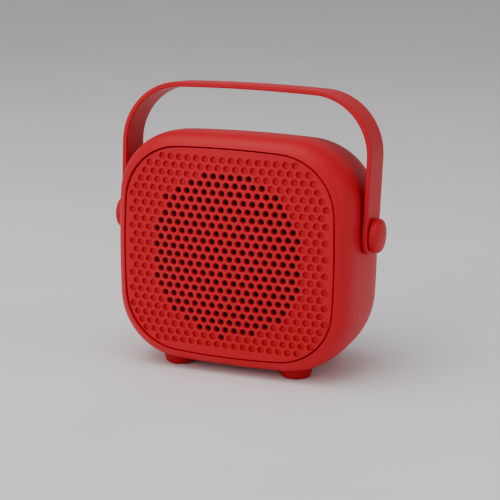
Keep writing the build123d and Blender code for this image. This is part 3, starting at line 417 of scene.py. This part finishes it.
def woven(name, dark, light, pitch, rough):
    """Plain weave: two crossed wave bands along X and Z, multiplied, drive colour and relief.
    Pitch is the distance between threads in mm."""
    made = bpy.data.materials.new(name)
    made.use_nodes = True
    tree = made.node_tree
    shader = tree.nodes["Principled BSDF"]
    shader.inputs["Roughness"].default_value = rough
    shader.inputs["Sheen Weight"].default_value = 0.2
    where = tree.nodes.new("ShaderNodeTexCoord")
    bands = []
    for direction in ("X", "Z"):
        wave = tree.nodes.new("ShaderNodeTexWave")
        wave.bands_direction = direction
        wave.inputs["Scale"].default_value = 1000 / pitch / BANDS
        tree.links.new(where.outputs["Object"], wave.inputs["Vector"])
        bands.append(wave.outputs["Fac"])
    crossed = tree.nodes.new("ShaderNodeMath")
    crossed.operation = "MULTIPLY"
    tree.links.new(bands[0], crossed.inputs[0])
    tree.links.new(bands[1], crossed.inputs[1])
    tree.links.new(between(tree, crossed.outputs["Value"], dark, light), shader.inputs["Base Color"])
    tree.links.new(bumped(tree, crossed.outputs["Value"], 0.8, 0.1 * MM), shader.inputs["Normal"])
    return made


def dress(node, finish):
    """The CAD node keeps its shape and gets this finish on every slot."""
    slots = frame["nodes"][node].data.materials
    if not len(slots):
        slots.append(finish)
    for index in range(len(slots)):
        slots[index] = finish


dress("acoustic_cloth", woven("black_cloth", (0.004, 0.004, 0.004), (0.014, 0.014, 0.015), WEAVE, 0.9))

# ---- Baffle and its screws: a black ABS plate on the housing's ledge, four pan-head screws ------
# It carries the loudspeaker from behind. The screws are zinc-plated steel with cross slots.
black_moulding = surface("black_moulding", (0.016, 0.016, 0.017), (0.022, 0.022, 0.023), 40.0,
                         (0.45, 0.6), 0.4, 0.02)
plated_steel = surface("plated_steel", (0.50, 0.51, 0.53), (0.60, 0.60, 0.60), 8.0, (0.28, 0.42),
                       0.25, 0.006, metallic=1.0)
dress("baffle", black_moulding)
dress("baffle_screws", plated_steel)

# ---- Loudspeaker: steel basket, pulp cone in a rubber roll, ferrite magnet, woven spider --------
# The basket and the plates are pressed and zinc plated, the cone is black pressed pulp with a
# fibrous face, and the magnet is bare ground ferrite. The coil is copper on a paper former.
pressed_steel = surface("pressed_steel", (0.42, 0.43, 0.44), (0.55, 0.55, 0.55), 15.0, (0.3, 0.5),
                        0.6, 0.01, metallic=1.0)
pulp = surface("black_pulp", (0.014, 0.014, 0.014), (0.030, 0.029, 0.028), 1.6, (0.8, 0.95), 0.5, 0.08)
roll_rubber = surface("roll_rubber", (0.010, 0.010, 0.010), (0.016, 0.016, 0.016), 12.0,
                      (0.5, 0.62), 0.5, 0.015)
ferrite = surface("ferrite", (0.035, 0.035, 0.038), (0.06, 0.06, 0.065), 3.0, (0.5, 0.7), 0.3, 0.03)
copper = surface("copper_coil", (0.70, 0.30, 0.14), (0.80, 0.40, 0.20), 0.4, (0.2, 0.35), 0.2, 0.03,
                 metallic=1.0, coat=0.5)
for node, finish in {"driver_gasket": roll_rubber, "driver_basket": pressed_steel,
                     "surround": roll_rubber, "cone": pulp, "dust_cap": pulp, "voice_coil": copper,
                     "spider": woven("amber_cloth", (0.30, 0.14, 0.03), (0.50, 0.27, 0.08), 0.5, 0.8),
                     "top_plate": pressed_steel, "magnet": ferrite, "yoke": pressed_steel,
                     "terminal_strip": surface("phenolic", (0.16, 0.07, 0.02), (0.24, 0.11, 0.04),
                                               2.0, (0.4, 0.5), 0.4, 0.02),
                     "driver_screws": plated_steel}.items():
    dress(node, finish)

# ---- Rear cover and its screws: a red inset panel with a flat pocket, four countersunk screws ---
# The pocket holds the buttons and the sockets, so that nothing stands proud of the back.
dress("rear_cover", red_shell)
dress("cover_screws", plated_steel)

# ---- Buttons: four round red caps, each with a raised sign, sprung by the switches behind --------
# The signs are a dot between bars for the mode, two wedges back, a play wedge with two bars, and
# two wedges forward.
BUTTON_X = {"mode_button": -21.0, "back_button": -7.0, "play_button": 7.0, "next_button": 21.0}
BUTTON_Z, BUTTON_TOP_Y, SIGN_RELIEF = 63.0, 31.9, 0.22
red_caps = surface("red_caps", (0.54, 0.001, 0.013), (0.49, 0.001, 0.010), 10.0, (0.40, 0.48), 0.3,
                   0.012, gloss=SATIN)


def raised(outlines, x, z):
    """Flat signs pressed out of a button: each closed outline of (across, up) is walled round and
    covered. Across runs to the right as seen from behind, so x is minus across."""
    points, faces = [], []
    for outline in outlines:
        flat = np.asarray(outline, dtype=float)
        first, count = sum(len(p) for p in points), len(flat)
        low, high = BUTTON_TOP_Y - 0.05, BUTTON_TOP_Y + SIGN_RELIEF
        for level in (low, high):
            points.append(np.stack([x - flat[:, 0], np.full(count, level), z + flat[:, 1]], -1))
        faces += grid_faces(2, count, first=first)
        faces.append([first + count + i for i in range(count)])
        faces.append([first + i for i in reversed(range(count))])
    return np.vstack(points), faces


def wedge(at, size):
    """Triangle that points across, anticlockwise."""
    return [(at - size * 0.5, -size * 0.6), (at + size * 0.5, 0), (at - size * 0.5, size * 0.6)]


def bar(at, width, height):
    """Upright bar, anticlockwise."""
    return [(at - width / 2, -height / 2), (at + width / 2, -height / 2),
            (at + width / 2, height / 2), (at - width / 2, height / 2)]


turn = np.linspace(0, 2 * np.pi, 24, endpoint=False)
dot = np.stack([0.9 * np.cos(turn), 0.9 * np.sin(turn)], -1)
SIGNS = {"mode_button": [dot, bar(-1.9, 0.5, 2.4), bar(1.9, 0.5, 2.4)],
         "back_button": [[(-a, b) for a, b in reversed(wedge(-0.9, 1.7))],
                         [(-a, b) for a, b in reversed(wedge(0.9, 1.7))]],
         "play_button": [wedge(-0.7, 2.2), bar(1.2, 0.45, 2.4), bar(2.1, 0.45, 2.4)],
         "next_button": [wedge(-0.9, 1.7), wedge(0.9, 1.7)]}
for name, x in BUTTON_X.items():
    dress(name, red_caps)
    points, faces = raised(SIGNS[name], x, BUTTON_Z)
    piece(name.replace("button", "sign"), points, faces, red_caps, name)

# ---- Power switch: a steel slide switch on the board, its black knob in the pocket's slot --------
# The switch is a standard part soldered to the board. Its moulded knob is pushed onto the lever
# and has three grooves for a fingernail.
dress("power_switch", plated_steel)
dress("power_knob", black_moulding)

# ---- Sockets, light and microphone: standard parts that meet the pocket's openings ---------------
# The charging socket and the card slot are drawn steel, the audio jack is black nylon, and the
# light reaches the surface through a clear moulded pipe.
clear = bpy.data.materials.new("clear_acrylic")
clear.use_nodes = True
shader = clear.node_tree.nodes["Principled BSDF"]
shader.inputs["Base Color"].default_value = (0.92, 0.93, 0.94, 1.0)
shader.inputs["Transmission Weight"].default_value = 0.8
clear.node_tree.links.new(spread(clear.node_tree, noise(clear.node_tree, 400.0), 0.08, 0.2),
                          shader.inputs["Roughness"])
for node, finish in {"charging_socket": plated_steel, "card_slot": plated_steel,
                     "aux_socket": black_moulding, "light_pipe": clear,
                     "status_light": surface("white_lens", (0.80, 0.80, 0.72), (0.86, 0.86, 0.80),
                                             1.0, (0.2, 0.3), 0.3, 0.005),
                     "microphone": black_moulding}.items():
    dress(node, finish)

# ---- Circuit board: green glass epoxy on four posts, with the radio, the amplifier and switches --
# The copper beneath shows through the mask as a slightly lighter mottle.
chip = surface("chip_epoxy", (0.012, 0.012, 0.013), (0.018, 0.018, 0.018), 5.0, (0.4, 0.55), 0.15, 0.01)
for node, finish in {"circuit_board": surface("green_mask", (0.006, 0.09, 0.03), (0.012, 0.15, 0.05),
                                              2.2, (0.22, 0.34), 0.8, 0.02, coat=0.4),
                     "board_screws": plated_steel, "tact_switches": chip, "radio_module": chip,
                     "amplifier_chip": chip,
                     "capacitors": surface("can_sleeve", (0.015, 0.016, 0.03), (0.02, 0.022, 0.04),
                                           6.0, (0.25, 0.35), 1.0, 0.01)}.items():
    dress(node, finish)

# ---- Battery: one lithium cell in a blue shrink sleeve, in a black cradle under foam bands -------
# The cradle is moulded ABS, and the two bands are cut from foam and hold the cell from rattling.
dress("battery_cell", surface("cell_sleeve", (0.02, 0.08, 0.30), (0.03, 0.11, 0.38), 14.0,
                              (0.22, 0.34), 2.5, 0.03, coat=0.3))
dress("battery_cradle", black_moulding)
dress("battery_bands", surface("foam_band", (0.02, 0.02, 0.02), (0.05, 0.05, 0.05), 0.8,
                               (0.9, 1.0), 0.35, 0.15))

# ---- Handle: one red strap of flexible plastic, turning on the stems of two domed caps ----------
# The caps are pressed on from outside and each is held by a screw and a washer inside the case.
red_handle = surface("red_handle", (0.55, 0.001, 0.014), (0.50, 0.001, 0.011), 45.0, (0.44, 0.52),
                     0.35, 0.018, gloss=SATIN)
for node in ("handle", "pivot_cap_left", "pivot_cap_right"):
    dress(node, red_handle)
dress("pivot_washers", plated_steel)
dress("pivot_screws", plated_steel)

# ---- Feet: four round pads of matte red rubber, pressed into sockets in the underside ------------
# They are moulded in one piece each, duller than the case, and keep it from sliding.
foot_rubber = surface("foot_rubber", (0.40, 0.001, 0.010), (0.36, 0.001, 0.008), 9.0, (0.62, 0.74),
                      0.5, 0.03, gloss=SATIN)
for node in ("foot_front_left", "foot_front_right", "foot_rear_left", "foot_rear_right"):
    dress(node, foot_rubber)

# ---- Wires: soft PVC insulation, red on the right side and black on the left ---------------------
# One pair runs from the board to the loudspeaker and one from the board to the battery cell.
red_wire = surface("red_wire", (0.45, 0.010, 0.010), (0.52, 0.012, 0.012), 4.0, (0.35, 0.45), 0.6, 0.01)
black_wire = surface("black_wire", (0.010, 0.010, 0.010), (0.014, 0.014, 0.014), 4.0, (0.35, 0.45),
                     0.6, 0.01)
for run in ("speaker_wire", "battery_wire"):
    dress(f"{run}_right", red_wire)
    dress(f"{run}_left", black_wire)
